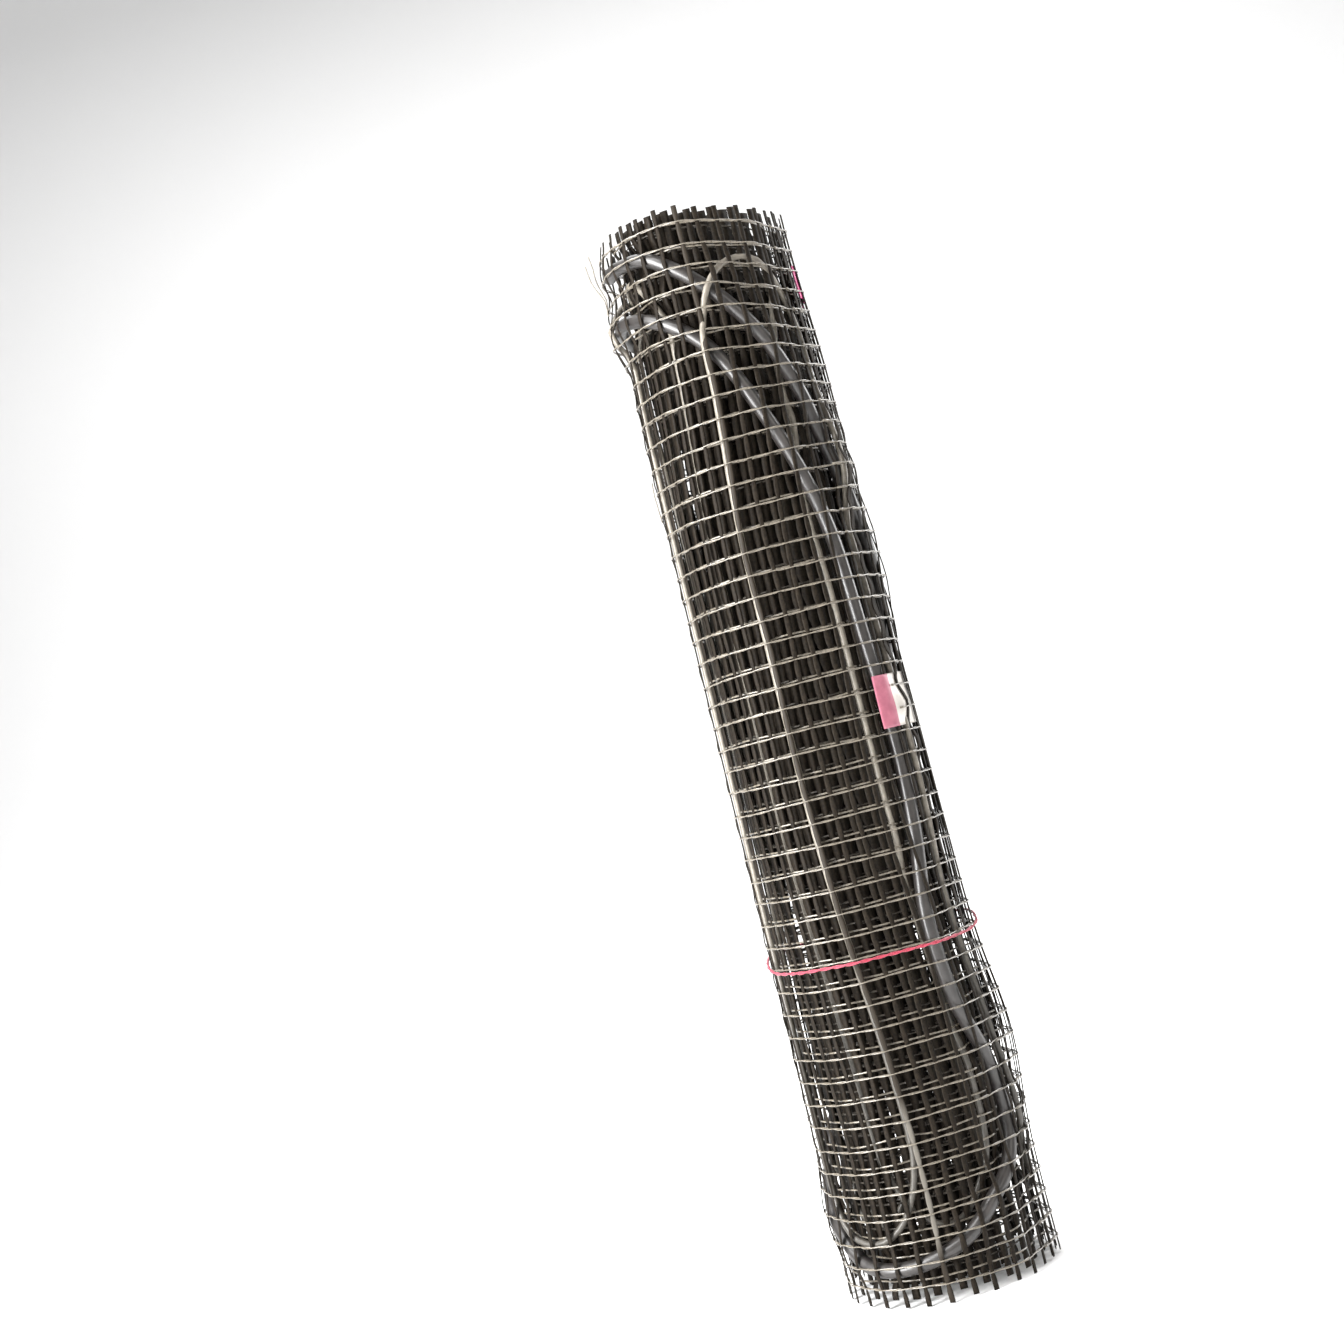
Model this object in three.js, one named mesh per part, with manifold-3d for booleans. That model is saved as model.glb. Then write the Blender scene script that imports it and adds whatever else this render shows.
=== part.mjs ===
// Underfloor heating mat, rolled up and standing on one end.
// Millimetres, +Z up along the roll's axis, origin at the middle of the lower end.
// Angles are in degrees around the roll, from the front (-Y) towards +X.
import * as THREE from 'three';
import { mergeVertices } from 'three/addons/utils/BufferGeometryUtils.js';
import Module from 'manifold-3d';

// The roll: wound a little looser at its lower end
const MAT_WIDTH = 500;
const LOWER_RADIUS = 49;
const UPPER_RADIUS = 45.4;
const BORE_RADIUS = 12;
const TURNS = 8;
const TURN_EDGE = 2;
const FRINGE_LENGTH = 8;
const ROLL_SIDES = 36;

// Heating cable: the outermost run, laid in legs along the roll
const CABLE_DIAMETER = 3;
const CABLE_PROUD = 0.5;
const CABLE_SIDES = 8;
const UPPER_LOOP_MARGIN = 24;
const LOWER_LOOP_MARGIN = 28;
const LOOP_HEIGHT = 46;
const LOOP_STEPS = 10;
const FIRST_LEG_ANGLE = 130;
const LEG_SPACING_ANGLE = 71.5;
const LEG_COUNT = 5;
const LEG_STEPS = 8;
const LAST_LEG_END = 320;

// The strands and the cable lean sideways towards both ends of the roll: by how many degrees, from
// which height and to which height
const LOWER_LEAN = { angle: 11, from: 230, to: 60 };
const UPPER_LEAN = { angle: 8, from: 330, to: 450 };

// Cold lead: the supply cable, tucked under the outer turn
const LEAD_DIAMETER = 6.6;
const LEAD_PROUD = 0.7;
const LEAD_SIDES = 8;
// Points on the lead's centre line, as angle and height, from its free end to the splice
const LEAD_ROUTE = [
  [-84, 485], [-54, 483], [-33, 480], [-14, 470], [8, 453], [29, 430], [44, 405],
  [56, 375], [76, 340], [108, 290], [140, 235], [173, 168], [212, 100], [250, 56], [286, 32],
  [311, 18], [340, 17], [372, 25], [394, 38], [412, 50], [421, 68], [417, 92], [402, 122], [397, 163],
  [404, 198], [408, 238], [404, 290], [398, 345], [377, 395], [352, 434], [322, 452], [288, 459],
  [254, 457], [226, 452],
];

// Splice between the lead and the heating cable, level along the roll
const SPLICE = { from: 190, to: 158, below: 50, diameter: 8, proud: 0.9 };
// Angle between a cord's end and the splice, and where each cord straightens up to meet it
const SPLICE_GAP = 0.9;
const SPLICE_APPROACH = 14;
const SPLICE_SIDES = 12;
const SPLICE_STEPS = 5;

// Tie string round the roll
const STRING_DIAMETER = 2;
const STRING_HEIGHT = 151;
const STRING_SIDES = 8;

// Paper label on the roll's right front, and a small coloured marker near its upper end
const LABEL = { from: 38, to: 76, below: 229, height: 24, thickness: 0.5 };
const MARKER = { from: 74, to: 96, below: 34, height: 16, thickness: 0.5 };
const LABEL_STEPS = 8;

// Fits
const CLEARANCE = 0.3;
const RAMP_LENGTH = 14;
const SAMPLE_STEP = 3;
const STRAIGHT_WITHIN = 0.25;

const wasm = await Module();
wasm.setup();

const DEGREE = Math.PI / 180;
const CABLE_RADIUS = CABLE_DIAMETER / 2;
const LEAD_RADIUS = LEAD_DIAMETER / 2;
const SPLICE_RADIUS = SPLICE.diameter / 2;
const CABLE_DEPTH = CABLE_RADIUS - CABLE_PROUD;
const LEAD_DEPTH = LEAD_RADIUS - LEAD_PROUD;
const SPLICE_DEPTH = SPLICE_RADIUS - SPLICE.proud;
const SPLICE_HEIGHT = MAT_WIDTH - SPLICE.below;

function rollRadius(height) {
  return LOWER_RADIUS + (UPPER_RADIUS - LOWER_RADIUS) * height / MAT_WIDTH;
}

// A point at an angle, a height and a depth under the roll's surface
function onRoll(angle, height, depth) {
  const radius = rollRadius(height) - depth;
  const turn = angle * DEGREE;
  return new THREE.Vector3(radius * Math.sin(turn), -radius * Math.cos(turn), height);
}

function smooth(share) {
  const held = Math.min(Math.max(share, 0), 1);
  return held * held * (3 - 2 * held);
}

function lean(height) {
  const lower = smooth((LOWER_LEAN.from - height) / (LOWER_LEAN.from - LOWER_LEAN.to));
  const upper = smooth((height - UPPER_LEAN.from) / (UPPER_LEAN.to - UPPER_LEAN.from));
  return LOWER_LEAN.angle * lower + UPPER_LEAN.angle * upper;
}

function material(color, roughness, metalness = 0) {
  return new THREE.MeshStandardMaterial({ color, roughness, metalness });
}

function toSolid(geometry) {
  const bare = geometry.clone();
  bare.deleteAttribute('normal');
  bare.deleteAttribute('uv');
  const merged = mergeVertices(bare);
  return new wasm.Manifold(new wasm.Mesh({
    numProp: 3,
    vertProperties: new Float32Array(merged.attributes.position.array),
    triVerts: new Uint32Array(merged.index.array),
  }));
}

function toGeometry(solid) {
  const mesh = solid.getMesh();
  const geometry = new THREE.BufferGeometry();
  geometry.setAttribute('position', new THREE.BufferAttribute(mesh.vertProperties, 3));
  geometry.setIndex(new THREE.BufferAttribute(mesh.triVerts, 1));
  geometry.computeVertexNormals();
  return geometry;
}

// A route whose steps are its own points, so that straight stretches take one step
class Route extends THREE.Curve {
  constructor(points) {
    super();
    this.points = points;
  }

  getPoint(t) {
    const place = t * (this.points.length - 1);
    const index = Math.min(Math.floor(place), this.points.length - 2);
    return this.points[index].clone().lerp(this.points[index + 1], place - index);
  }

  getPointAt(u) {
    return this.getPoint(u);
  }

  getTangentAt(u) {
    const place = Math.round(u * (this.points.length - 1));
    const before = this.points[Math.max(place - 1, 0)];
    const after = this.points[Math.min(place + 1, this.points.length - 1)];
    return after.clone().sub(before).normalize();
  }
}

// Leaves out the points that lie on a straight line between their neighbours
function thinned(points) {
  const kept = [points[0]];
  let start = 0;
  for (let end = 2; end < points.length; end += 1) {
    const chord = new THREE.Line3(points[start], points[end]);
    const between = points.slice(start + 1, end);
    const straight = between.every((point) => {
      const foot = chord.closestPointToPoint(point, true, new THREE.Vector3());
      return foot.distanceTo(point) < STRAIGHT_WITHIN;
    });
    if (!straight) {
      kept.push(points[end - 1]);
      start = end - 1;
    }
  }
  kept.push(points[points.length - 1]);
  return kept;
}

// A round cord along points, as a closed tube
function cord(points, radius, sides) {
  const outline = new THREE.Shape();
  for (let side = 0; side < sides; side += 1) {
    const turn = 2 * Math.PI * side / sides;
    const x = radius * Math.cos(turn);
    const y = radius * Math.sin(turn);
    if (side === 0) {
      outline.moveTo(x, y);
    } else {
      outline.lineTo(x, y);
    }
  }
  outline.closePath();
  return new THREE.ExtrudeGeometry(outline, {
    steps: points.length - 1,
    extrudePath: new Route(points),
  });
}

// Evenly sampled angles and heights along a smooth line through hand-set ones
function sampled(places) {
  const flat = places.map(([angle, height]) => {
    return new THREE.Vector3(angle * DEGREE * rollRadius(MAT_WIDTH / 2), height, 0);
  });
  const curve = new THREE.CatmullRomCurve3(flat, false, 'centripetal');
  const count = Math.round(curve.getLength() / SAMPLE_STEP);
  return curve.getSpacedPoints(count);
}

// Distance between two flat places, the angle counted the short way round
function flatDistance(a, b) {
  const girth = 2 * Math.PI * rollRadius(MAT_WIDTH / 2);
  const across = (a.x - b.x) - girth * Math.round((a.x - b.x) / girth);
  return Math.hypot(across, a.y - b.y);
}

function unrolledAngle(place) {
  return place.x / rollRadius(MAT_WIDTH / 2) / DEGREE;
}

// The lead, level where it meets the splice
const leadPlaces = sampled([
  ...LEAD_ROUTE,
  [SPLICE.from + SPLICE_APPROACH, SPLICE_HEIGHT],
  [SPLICE.from + SPLICE_GAP, SPLICE_HEIGHT],
]);
const leadPoints = thinned(leadPlaces.map((place) => onRoll(unrolledAngle(place), place.y, LEAD_DEPTH)));

// The heating cable from the splice on: legs down and up, with a loop from each to the next
function cableRoute() {
  const places = [
    [SPLICE.to - SPLICE_GAP, SPLICE_HEIGHT],
    [SPLICE.to - SPLICE_APPROACH / 2, SPLICE_HEIGHT],
  ];
  const low = LOWER_LOOP_MARGIN + LOOP_HEIGHT;
  const high = MAT_WIDTH - UPPER_LOOP_MARGIN - LOOP_HEIGHT;
  for (let leg = 0; leg < LEG_COUNT; leg += 1) {
    const angle = FIRST_LEG_ANGLE + leg * LEG_SPACING_ANGLE;
    const downwards = leg % 2 === 0;
    const from = downwards ? high : low;
    const loopAt = downwards ? low : high;
    const last = leg === LEG_COUNT - 1;
    const end = last ? LAST_LEG_END : loopAt;
    for (let step = 0; step <= LEG_STEPS; step += 1) {
      const height = from + (end - from) * step / LEG_STEPS;
      places.push([angle + lean(height), height]);
    }
    for (let step = 1; step < LOOP_STEPS && !last; step += 1) {
      const turn = Math.PI * step / LOOP_STEPS;
      const reach = LOOP_HEIGHT * Math.sin(turn);
      const height = downwards ? loopAt - reach : loopAt + reach;
      const across = LEG_SPACING_ANGLE * (1 - Math.cos(turn)) / 2;
      places.push([angle + across + lean(height), height]);
    }
  }
  return places;
}

// The cable rises over the lead where the two cross
const CROSSING = LEAD_RADIUS + CABLE_RADIUS + 2 * CLEARANCE;
const CROSSING_LIFT = CROSSING - LEAD_DEPTH + CABLE_DEPTH;

function cableLift(place) {
  const nearest = Math.min(...leadPlaces.map((other) => flatDistance(place, other)));
  const share = (RAMP_LENGTH - nearest) / (RAMP_LENGTH - CABLE_RADIUS);
  return CROSSING_LIFT * Math.min(Math.max(share, 0), 1);
}

// It leaves the splice at the splice's own depth and comes up to the surface
function cableDepth(place, along) {
  const sunk = Math.max(1 - along / RAMP_LENGTH, 0);
  const atSplice = CABLE_DEPTH + (SPLICE_DEPTH - CABLE_DEPTH) * sunk;
  return atSplice - cableLift(place);
}

const cablePlaces = sampled(cableRoute());
const cablePoints = thinned(cablePlaces.map((place, index) => {
  return onRoll(unrolledAngle(place), place.y, cableDepth(place, index * SAMPLE_STEP));
}));

// The splice
const splicePoints = [];
for (let step = 0; step <= SPLICE_STEPS; step += 1) {
  const angle = SPLICE.from + (SPLICE.to - SPLICE.from) * step / SPLICE_STEPS;
  splicePoints.push(onRoll(angle, SPLICE_HEIGHT, SPLICE_DEPTH));
}

// One end of the roll, from outside to inside: each turn's edge and the groove beside it
function endProfile(outerRadius, face, floor) {
  const pitch = (outerRadius - BORE_RADIUS - TURN_EDGE) / (TURNS - 1);
  const points = [];
  for (let turn = 0; turn < TURNS; turn += 1) {
    const outer = outerRadius - turn * pitch;
    points.push(new THREE.Vector2(outer, face));
    points.push(new THREE.Vector2(outer - TURN_EDGE, face));
    if (turn < TURNS - 1) {
      points.push(new THREE.Vector2(outer - TURN_EDGE, floor));
      points.push(new THREE.Vector2(outer - pitch, floor));
    }
  }
  return points;
}

function turned(profile) {
  const closed = [...profile, profile[0].clone()];
  return new THREE.LatheGeometry(closed, ROLL_SIDES).rotateX(Math.PI / 2);
}

function matRoll() {
  const upper = endProfile(UPPER_RADIUS, MAT_WIDTH, MAT_WIDTH - FRINGE_LENGTH);
  const lower = endProfile(LOWER_RADIUS, 0, FRINGE_LENGTH);
  let solid = toSolid(turned([...upper.reverse(), ...lower].reverse()));
  solid = solid.subtract(toSolid(cord(cablePoints, CABLE_RADIUS + CLEARANCE, CABLE_SIDES)));
  solid = solid.subtract(toSolid(cord(leadPoints, LEAD_RADIUS + CLEARANCE, LEAD_SIDES)));
  solid = solid.subtract(toSolid(cord(splicePoints, SPLICE_RADIUS + CLEARANCE, SPLICE_SIDES)));
  return new THREE.Mesh(toGeometry(solid), material(0x2a2622, 0.4));
}

function tieString() {
  const radius = STRING_DIAMETER / 2;
  const centre = rollRadius(STRING_HEIGHT) + LEAD_PROUD + CLEARANCE + radius;
  const profile = [];
  for (let side = 0; side < STRING_SIDES; side += 1) {
    const turn = -2 * Math.PI * side / STRING_SIDES;
    profile.push(new THREE.Vector2(
      centre + radius * Math.cos(turn),
      STRING_HEIGHT + radius * Math.sin(turn),
    ));
  }
  return new THREE.Mesh(turned(profile.reverse()), material(0xc8364f, 0.55));
}

// A thin curved sheet that lies on the roll, or on what stands proud of it
function sheetOnRoll(label, proud, color) {
  const bottom = MAT_WIDTH - label.below - label.height;
  const inner = rollRadius(bottom) + proud + CLEARANCE;
  const outline = new THREE.Shape();
  const outer = inner + label.thickness;
  const start = (label.from - 90) * DEGREE;
  const end = (label.to - 90) * DEGREE;
  outline.absarc(0, 0, outer, start, end, false);
  outline.absarc(0, 0, inner, end, start, true);
  outline.closePath();
  const geometry = new THREE.ExtrudeGeometry(outline, {
    depth: label.height,
    bevelEnabled: false,
    curveSegments: LABEL_STEPS,
  });
  const mesh = new THREE.Mesh(geometry, material(color, 0.5));
  mesh.position.z = bottom;
  return mesh;
}

// The pieces
const mat = new THREE.Group();

function add(name, mesh) {
  mesh.name = name;
  mat.add(mesh);
}

add('mat_roll', matRoll());
add('heating_cable', new THREE.Mesh(cord(cablePoints, CABLE_RADIUS, CABLE_SIDES), material(0xb9b2a6, 0.45)));
add('cold_lead', new THREE.Mesh(cord(leadPoints, LEAD_RADIUS, LEAD_SIDES), material(0x6f7480, 0.4)));
add('splice_sleeve', new THREE.Mesh(cord(splicePoints, SPLICE_RADIUS, SPLICE_SIDES), material(0x17171a, 0.45)));
add('tie_string', tieString());
add('label', sheetOnRoll(LABEL, LEAD_PROUD, 0xe9e2dc));
add('marker_label', sheetOnRoll(MARKER, 0, 0xc23a78));

export default mat;
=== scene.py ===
"""Dresses the rolled underfloor heating mat: woven mesh, heating cable, cold lead, string, labels.

Shapes are worked out in millimetres and written to Blender in metres. Angles are in degrees round
the roll, from the front (-Y) towards +X. The mat starts at its free edge, on the outside, and winds
inwards: wind is the angle wound since that edge, and height is the place across the mat.
"""
import math

import bpy
import numpy as np
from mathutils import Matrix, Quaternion, Vector


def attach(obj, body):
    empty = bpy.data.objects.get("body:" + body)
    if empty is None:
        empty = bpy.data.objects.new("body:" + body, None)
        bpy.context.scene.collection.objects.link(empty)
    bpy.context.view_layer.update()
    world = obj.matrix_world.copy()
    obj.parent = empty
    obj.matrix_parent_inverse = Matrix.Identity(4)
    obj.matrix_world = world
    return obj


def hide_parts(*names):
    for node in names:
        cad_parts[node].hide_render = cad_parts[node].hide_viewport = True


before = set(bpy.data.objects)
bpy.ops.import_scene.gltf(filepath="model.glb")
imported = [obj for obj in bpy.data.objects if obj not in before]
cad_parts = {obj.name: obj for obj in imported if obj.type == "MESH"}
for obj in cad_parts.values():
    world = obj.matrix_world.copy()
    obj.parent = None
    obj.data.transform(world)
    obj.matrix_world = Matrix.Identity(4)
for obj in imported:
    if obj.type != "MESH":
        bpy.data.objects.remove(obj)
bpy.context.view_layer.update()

METRES = 0.001

# The roll, as in the CAD model
MAT_WIDTH = 500.0
LOWER_RADIUS = 49.0
UPPER_RADIUS = 45.4
BORE_RADIUS = 12.0
TURNS = 8
TURN_EDGE = 2.0
FRINGE = 8.0

# The winding
EDGE_ANGLE = 46.0
FLAP_LIFT = 1.5
MESH_INSET = 1.1
LEFT_SQUASH = {"angle": -88.0, "reach": 50.0, "share": 0.012, "upper_share": 0.055}
RIGHT_SQUASH = {"angle": 88.0, "reach": 70.0, "upper_share": 0.055}
RIGHT_BULGE = {"share": 0.09, "height": 104.0, "spread": 34.0}
SEAM_SHARE = 0.62
SLACK = 2.2
LEAD_DENT = 1.2
CORNER_ANGLES = (-46.0, -15.5, 29.0, 68.0, 109.0, 148.0, 182.0, 217.0, 248.0, 282.0)
CORNER_ROUNDING = 3.0
CORNER_STRENGTH = 0.85
LOWER_LEAN = {"angle": 11.0, "from": 230.0, "to": 60.0}
UPPER_LEAN = {"angle": 8.0, "from": 330.0, "to": 450.0}
TURN_STAGGER = 2.6
SAG = {"drop": 8.0, "from_angle": -30.0, "to_angle": 60.0, "from_height": 390.0, "to_height": 470.0}

# The mesh: 48 warp strands round the roll, each a pair of twisted yarns, and flat wefts along it
WARP_COUNT = 48
WARP_PITCH = 10.3
WEFT_PITCH = 9.95
RIDGE_WIND = 298.5
RIDGE_WEFT = 24
WEFT_BESIDE_CABLE = 1.1
HIDDEN_WEFT_BESIDE_CABLE = 2.3
YARN_RADIUS = 0.29
YARN_SPREAD = 0.22
WEFT_HALF_WIDTH = 1.3
WEFT_HALF_PINCH = 0.9
# The wefts of the turns behind are drawn wider than the outer ones: partly the mat's own wefts, partly
# dark filling that stands in for the shade inside the roll
SECOND_WEFT_WIDER = 1.55
HIDDEN_WEFT_WIDER = 2.2
WEFT_HALF_THICKNESS = 0.3
OUTER_WIND = 400.0
SECOND_WIND = 760.0

# Grid over the roll's surface for what pushes the outer turn out
GRID_ANGLE_STEP = 1.5
GRID_HEIGHT_STEP = 2.5

# Heating cable
CABLE_RADIUS = 1.5
CABLE_UNDER_MESH = 2.3
# Heights in metres over which the heating cable's colour darkens downwards: painted shade on its lower
# loops behind the mesh
PAINTED_SHADE_BOTTOM = 0.12
PAINTED_SHADE_TOP = 0.19
LOOP_HEIGHT = 46.0
UPPER_LOOP_MARGIN = 24.0
LOWER_LOOP_MARGIN = 28.0
OUTER_LEG_WINDS = (84.0, 155.5, 227.0, 298.5, 370.0)
OUTER_RUN_END = 392.0
INNER_LEG_SPACING = 51.0

# Cold lead: points as angle and height, from its free end to the splice, as in the CAD model
LEAD_RADIUS = 3.3
LEAD_PROUD = 0.7
LEAD_ROUTE = (
    (-84, 485), (-54, 483), (-33, 480), (-14, 470), (8, 453), (29, 430), (44, 405),
    (56, 375), (76, 340), (108, 290), (140, 235), (173, 168), (212, 100), (250, 56), (286, 32),
    (311, 18), (340, 17), (372, 25), (394, 38), (412, 50), (421, 68), (417, 92), (402, 122),
    (397, 163), (404, 198), (408, 238), (404, 290), (398, 345), (377, 395), (352, 434),
    (322, 452), (288, 459), (254, 457), (226, 452), (204, 450), (190.9, 450),
)
SPLICE = {"from": 190.0, "to": 158.0, "height": 450.0, "radius": 4.0, "proud": 0.9}
# The cable's way from the splice to its first leg: angle from the splice and drop
CABLE_FROM_SPLICE = ((0.9, 0.0), (7.9, 0.5), (14.9, 7.0))

# Tie string, labels and stray strands
STRING_HEIGHT = 151.0
STRING_PLY_RADIUS = 0.42
STRING_PLY_OFFSET = 0.36
STRING_TWIST = 13.0
STRING_CLEARANCE = 1.4
STRING_RISE = {"by": 5.0, "from_angle": 60.0, "over_angle": 30.0}
KNOT_SIZE = 1.1
KNOT_CORD_RADIUS = 0.75
TAIL_CORD_RADIUS = 0.8
TAIL_DROP = 26.0
LABEL = {"from": 38.0, "to": 76.0, "low": 247.0, "high": 271.0, "pink_to": 48.0}
MARKER = {"from": 70.0, "to": 96.0, "low": 450.0, "high": 466.0}
SHEET_OFF_MESH = 0.72
SHEET_HALF_THICKNESS = 0.12
STRAY_HALF_WIDTH = 0.4
STRAY_HALF_THICKNESS = 0.35

# Camera, at the photograph's viewing angle
CAMERA_PLACE = (0.0, -0.860, 0.2416)
CAMERA_AIM = (-0.0589, 0.0, 0.2973)
CAMERA_ROLL = -13.9
CAMERA_LENS = 49.24

rng = np.random.default_rng(7)


# Winding

def smooth(share):
    """0 to 1 with level ends."""
    held = np.clip(share, 0.0, 1.0)
    return held * held * (3.0 - 2.0 * held)


def soft_max(a, b, width=0.8):
    """The larger of two values, with a rounded change from one to the other."""
    return 0.5 * (a + b + np.sqrt((a - b) ** 2 + width ** 2))


def roll_radius(height):
    """Outer radius of the roll, wound a little looser at its lower end."""
    return LOWER_RADIUS + (UPPER_RADIUS - LOWER_RADIUS) * height / MAT_WIDTH


def lean(height):
    """How far the strands lean sideways towards both ends of the roll."""
    lower = smooth((LOWER_LEAN["from"] - height) / (LOWER_LEAN["from"] - LOWER_LEAN["to"]))
    upper = smooth((height - UPPER_LEAN["from"]) / (UPPER_LEAN["to"] - UPPER_LEAN["from"]))
    return LOWER_LEAN["angle"] * lower + UPPER_LEAN["angle"] * upper


def corner_profile():
    """Radius of the roll's rounded many-cornered section over its mean radius, each degree."""
    angles = np.arange(360.0)
    corners = np.sort(np.mod(CORNER_ANGLES, 360.0))
    radius = np.ones(360)
    for index, start in enumerate(corners):
        end = corners[(index + 1) % len(corners)]
        span = (end - start) % 360.0
        along = np.mod(angles - start, 360.0)
        inside = along < span
        half = math.radians(span / 2)
        radius[inside] = math.cos(half) / np.cos(np.radians(along[inside] - span / 2))
    reach = np.arange(-12, 13)
    weights = np.exp(-0.5 * (reach / CORNER_ROUNDING) ** 2)
    weights /= weights.sum()
    rounded = sum(w * np.roll(radius, r) for w, r in zip(weights, reach))
    return rounded / rounded.mean()


CORNERS = corner_profile()


def corner_factor(angle, strength):
    """Radius of the cornered section at an angle over its mean, at a strength from 0 to 1."""
    shape = np.interp(np.mod(angle, 360.0), np.arange(361.0), np.append(CORNERS, CORNERS[0]))
    return 1.0 + strength * (shape - 1.0)


def turn_drop(wind):
    """How many turn pitches the mat has come inwards, mostly just after it passes the free edge."""
    turn = np.maximum(wind / 360.0 - 1.0, 0.0)
    whole = np.floor(turn)
    return whole + smooth((turn - whole) / SEAM_SHARE)


def near_angle(angle, middle, reach):
    """1 at an angle, falling to 0 a certain reach away from it."""
    across = np.abs(np.mod(angle - middle + 180.0, 360.0) - 180.0)
    return 1.0 - smooth(across / reach)


def squash(angle, height):
    """How the roll departs from a round one: flatter sides near the top, a bulge low on the right."""
    upper = smooth((height - 400.0) / 90.0)
    left = near_angle(angle, LEFT_SQUASH["angle"], LEFT_SQUASH["reach"])
    right = near_angle(angle, RIGHT_SQUASH["angle"], RIGHT_SQUASH["reach"])
    bulge = np.exp(-((height - RIGHT_BULGE["height"]) / RIGHT_BULGE["spread"]) ** 2)
    shrink = left * (LEFT_SQUASH["share"] + LEFT_SQUASH["upper_share"] * upper)
    shrink = shrink + right * (RIGHT_SQUASH["upper_share"] * upper - RIGHT_BULGE["share"] * bulge)
    return 1.0 - shrink


def base_radius(wind, height):
    """Middle of the mesh, before the cables push it out."""
    outer = roll_radius(height)
    pitch = (outer - BORE_RADIUS - TURN_EDGE) / (TURNS - 1)
    flap = FLAP_LIFT * np.clip(1.0 - wind / 330.0, 0.0, 1.0)
    radius = outer - MESH_INSET + flap - pitch * turn_drop(wind)
    strength = CORNER_STRENGTH * np.clip(1.15 - turn_drop(wind) * 0.2, 0.0, 1.0)
    angle = EDGE_ANGLE + wind
    return radius * corner_factor(angle, strength) * squash(angle + lean(height), height)


def sheet_angle(wind, height):
    """Angle round the roll of a place on the mat."""
    edge = 4.5 * smooth((290.0 - height) / 50.0) * (1.0 - smooth(wind / 70.0))
    return EDGE_ANGLE + wind + lean(height) + edge


def sheet_height(wind, height):
    """Height of a place on the mat, with the stagger of its turns and the sag at the upper right."""
    stagger = TURN_STAGGER * np.minimum(turn_drop(wind), 2.0) * (1.0 - height / MAT_WIDTH)
    angle = np.mod(EDGE_ANGLE + wind + lean(height) + 90.0, 360.0) - 90.0
    across = smooth((angle - SAG["from_angle"]) / (SAG["to_angle"] - SAG["from_angle"]))
    across = across * smooth((210.0 - angle) / 90.0)
    up = smooth((height - SAG["from_height"]) / (SAG["to_height"] - SAG["from_height"]))
    return height + stagger - SAG["drop"] * across * up


def length_along():
    """Winds and the lengths of mat from the free edge to them, at the middle of its width."""
    winds = np.arange(0.0, 360.0 * TURNS + 1.0, 2.0)
    radius = base_radius(winds, np.full(winds.shape, MAT_WIDTH / 2))
    steps = np.radians(2.0) * (radius[1:] + radius[:-1]) / 2
    return winds, np.concatenate([[0.0], np.cumsum(steps)])


WIND_TABLE, LENGTH_TABLE = length_along()
RIDGE_LENGTH = float(np.interp(RIDGE_WIND, WIND_TABLE, LENGTH_TABLE))
FIRST_WEFT = RIDGE_LENGTH + WEFT_BESIDE_CABLE - RIDGE_WEFT * WEFT_PITCH
MAT_LENGTH = float(LENGTH_TABLE[-1])


# What the cables do to the outer turn

def smooth_route(places, step):
    """Even points along a smooth line through given angles and heights, as angle and height."""
    scale = math.radians(1.0) * roll_radius(MAT_WIDTH / 2)
    points = np.array(places, float) * (scale, 1.0)
    points = np.vstack([2 * points[0] - points[1], points, 2 * points[-1] - points[-2]])
    line = []
    for index in range(1, len(points) - 2):
        p0, p1, p2, p3 = points[index - 1:index + 3]
        t0 = 0.0
        t1 = t0 + np.linalg.norm(p1 - p0) ** 0.5
        t2 = t1 + np.linalg.norm(p2 - p1) ** 0.5
        t3 = t2 + np.linalg.norm(p3 - p2) ** 0.5
        for t in np.linspace(t1, t2, 24, endpoint=False):
            a1 = (t1 - t) / (t1 - t0) * p0 + (t - t0) / (t1 - t0) * p1
            a2 = (t2 - t) / (t2 - t1) * p1 + (t - t1) / (t2 - t1) * p2
            a3 = (t3 - t) / (t3 - t2) * p2 + (t - t2) / (t3 - t2) * p3
            b1 = (t2 - t) / (t2 - t0) * a1 + (t - t0) / (t2 - t0) * a2
            b2 = (t3 - t) / (t3 - t1) * a2 + (t - t1) / (t3 - t1) * a3
            line.append((t2 - t) / (t2 - t1) * b1 + (t - t1) / (t2 - t1) * b2)
    line.append(points[-2])
    line = np.array(line)
    along = np.concatenate([[0.0], np.cumsum(np.linalg.norm(np.diff(line, axis=0), axis=1))])
    even = np.linspace(0.0, along[-1], max(int(along[-1] / step), 2))
    flat = np.column_stack([np.interp(even, along, line[:, 0]), np.interp(even, along, line[:, 1])])
    return flat / (scale, 1.0)


GRID_ANGLES = np.arange(0.0, 360.0, GRID_ANGLE_STEP)
GRID_HEIGHTS = np.arange(-5.0, 510.0, GRID_HEIGHT_STEP)


def highest_tent(route, tops, slope, rounding):
    """Over the grid, the highest of the tents that a cord holds up at its points."""
    angles, heights = np.meshgrid(GRID_ANGLES, GRID_HEIGHTS, indexing="ij")
    best = np.full(angles.shape, -1e3)
    for (angle, height), top in zip(route, tops):
        across = np.mod(angles - angle + 180.0, 360.0) - 180.0
        away = across * math.radians(1.0) * roll_radius(height)
        distance = np.sqrt(away ** 2 + (heights - height) ** 2 + rounding ** 2) - rounding
        best = np.maximum(best, top - slope * distance)
    return best


def flat_distance(places, route):
    """Shortest distance of each place, as angle and height, from a route, in millimetres."""
    scale = math.radians(1.0) * roll_radius(MAT_WIDTH / 2)
    across = np.mod(places[:, None, 0] - route[None, :, 0] + 180.0, 360.0) - 180.0
    up = places[:, None, 1] - route[None, :, 1]
    return np.sqrt((across * scale) ** 2 + up ** 2).min(axis=1)


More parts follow.
